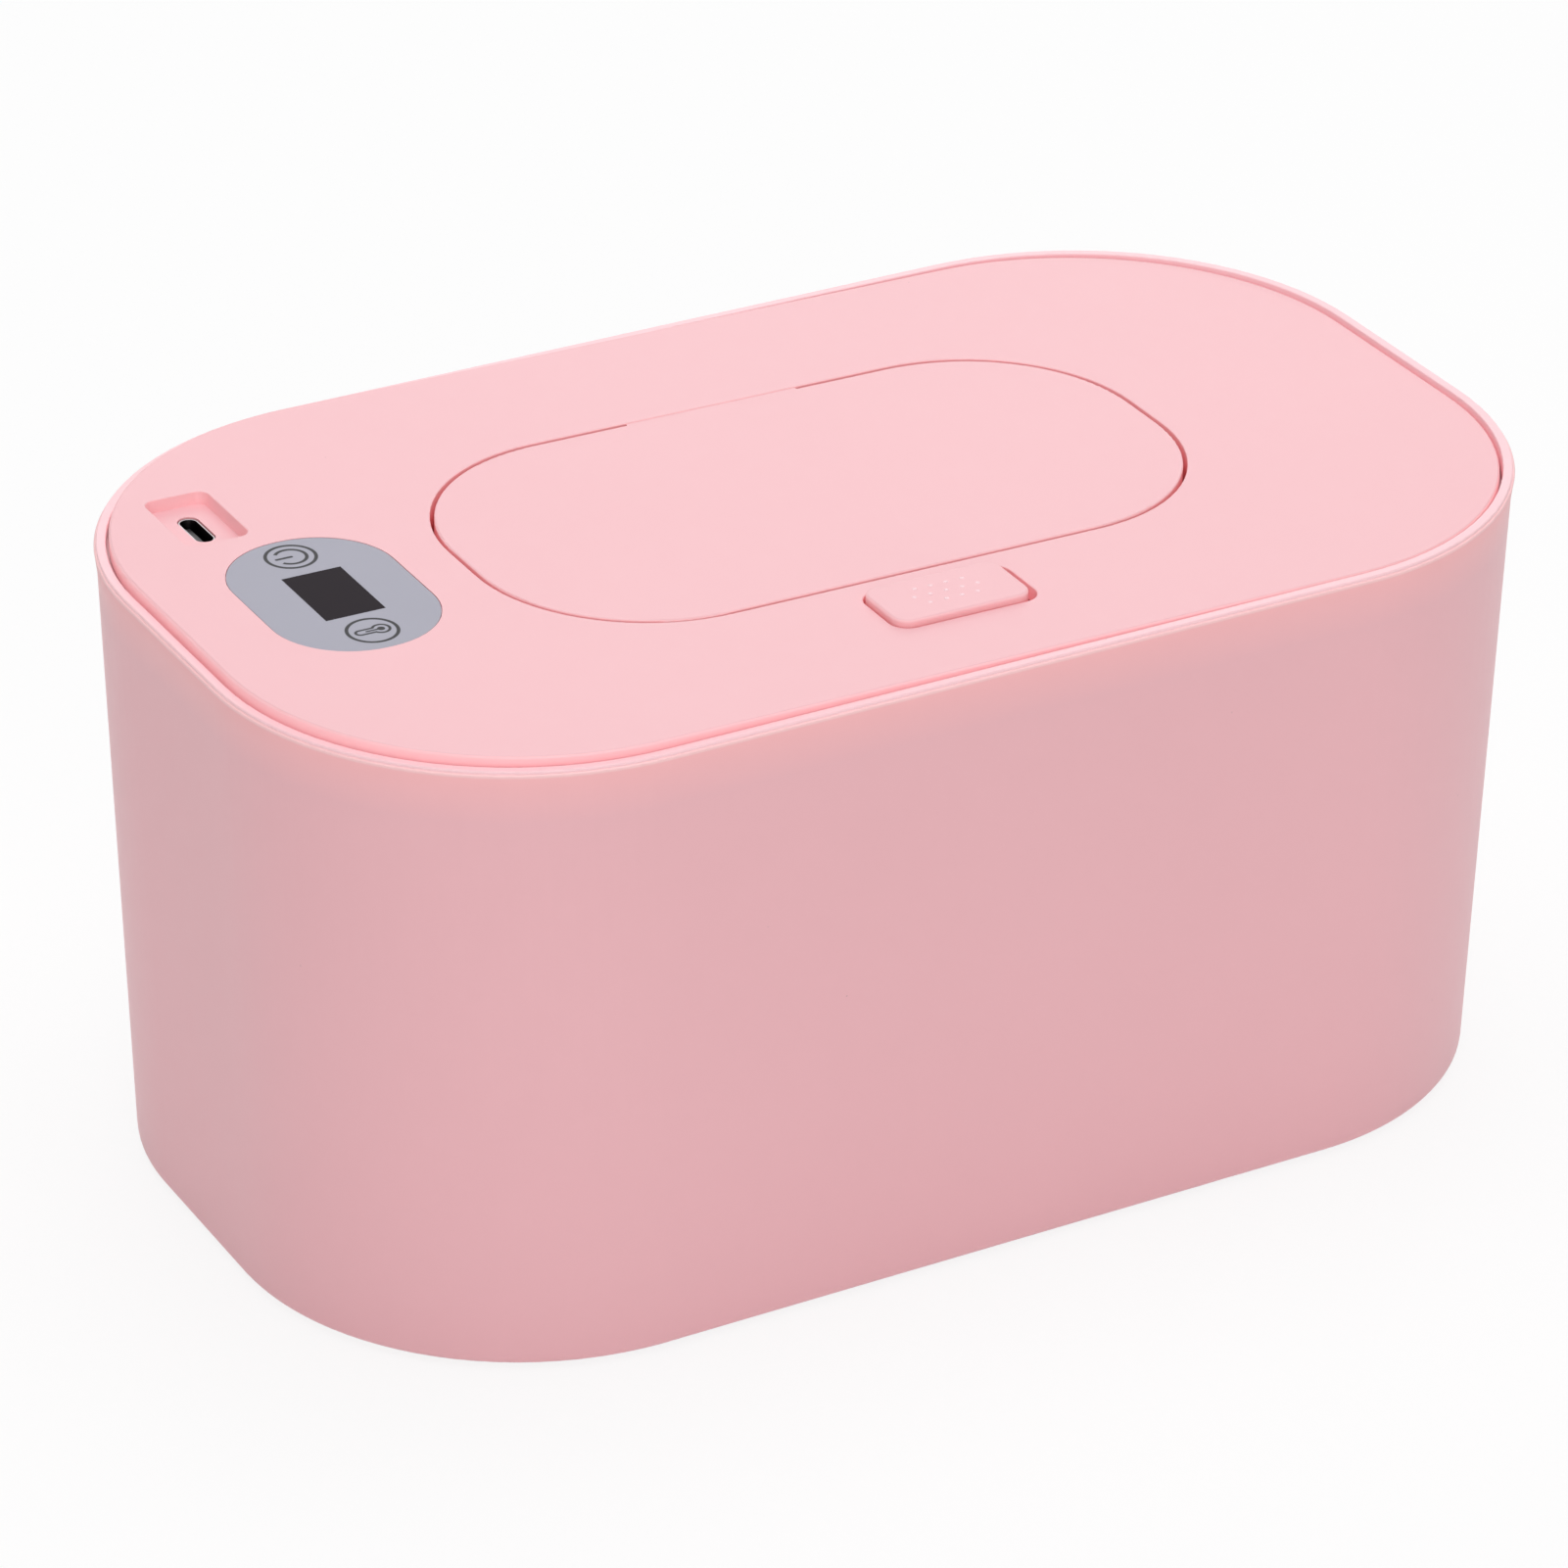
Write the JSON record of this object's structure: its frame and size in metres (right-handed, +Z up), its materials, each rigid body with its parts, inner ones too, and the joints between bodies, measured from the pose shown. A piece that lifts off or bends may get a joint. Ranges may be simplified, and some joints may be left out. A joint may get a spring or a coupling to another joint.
{
  "type": "baby wipe warmer",
  "caption": "Pink rounded tub that keeps baby wipes warm, with a lift-off heated cover, a press-button flip lid over the dispensing slot and a small control panel.",
  "frame": {"origin": "centre of the footprint on the table, under the middle of the tub", "axes": "+X along the body away from the control panel, -Y towards the latch button, +Z up"},
  "size_m": [0.215, 0.1292, 0.1036],
  "materials": {
    "pink_shell": "satin, fine speckle",
    "pink_cover": "satin, fine speckle",
    "white_plastic": "satin",
    "foam": "matte",
    "steel": "bright",
    "aluminium": "satin",
    "grey_rubber": "matte",
    "silicone": "matte, translucent white",
    "film": "satin",
    "board": "solder mask",
    "black_plastic": "satin",
    "dark_glass": "gloss",
    "overlay_grey": "fine matte",
    "key_grey": "satin"
  },
  "bodies": {
    "base": {"outer_shell": "pink_shell", "inner_liner": "pink_cover", "insulation_sleeve": "foam", "base_screws": "steel", "rubber_feet": "grey_rubber"},
    "cover": {"top_cover": "pink_cover", "cover_seal": "silicone", "inner_cover": "white_plastic", "cover_screws": "steel", "orifice_membrane": "silicone", "heater_foam": "foam", "heating_film": "film", "heat_plate": "aluminium", "heater_connector": "white_plastic", "thermistor": "black_plastic", "thermal_fuse": "white_plastic", "control_board": "board", "board_screws": "steel", "inlet_shell": "steel", "inlet_tongue": "black_plastic", "display_module": "black_plastic", "display_window": "dark_glass", "control_overlay": "overlay_grey", "tact_switches": "black_plastic", "lever_pin": "steel", "latch_spring": "steel", "lid_hinge_web": "pink_cover"},
    "lid": {"flip_lid": "pink_cover", "lid_gasket": "silicone"},
    "latch_button": {"latch_button": "pink_cover"},
    "latch_lever": {"latch_lever": "white_plastic"},
    "power_key": {"power_key": "key_grey"},
    "temperature_key": {"temperature_key": "key_grey"}
  },
  "joints": [
    {"name": "cover_lift", "type": "slide", "parent": "base", "child": "cover", "axis": [0.0105, 0, 0.9999], "range_m": [0, 0.08]},
    {"name": "lid_hinge", "type": "hinge", "parent": "cover", "child": "lid", "pos_m": [0.00035, 0.03318, 0.10215], "axis": [-0.9999, 0, 0.0105], "range_deg": [0, 110], "deforming": ["lid_hinge_web"]},
    {"name": "button_press", "type": "slide", "parent": "cover", "child": "latch_button", "axis": [-0.0105, 0, -0.9999], "range_m": [0, 0.0012], "stiffness_N_per_m": 400},
    {"name": "lever_tilt", "type": "hinge", "parent": "cover", "child": "latch_lever", "pos_m": [-0.00013, -0.03374, 0.0905], "axis": [0.9999, 0, -0.0105], "range_deg": [0, 11], "stiffness_Nm_per_rad": 0.02, "deforming": ["latch_spring"]},
    {"name": "power_press", "type": "slide", "parent": "cover", "child": "power_key", "axis": [-0.0105, 0, -0.9999], "range_m": [0, 0.00025], "stiffness_N_per_m": 800},
    {"name": "temperature_press", "type": "slide", "parent": "cover", "child": "temperature_key", "axis": [-0.0105, 0, -0.9999], "range_m": [0, 0.00025], "stiffness_N_per_m": 800}
  ],
  "couplings": [
    {"joint": "lever_tilt", "follows": "button_press", "rad_per_m": 159.99}
  ]
}
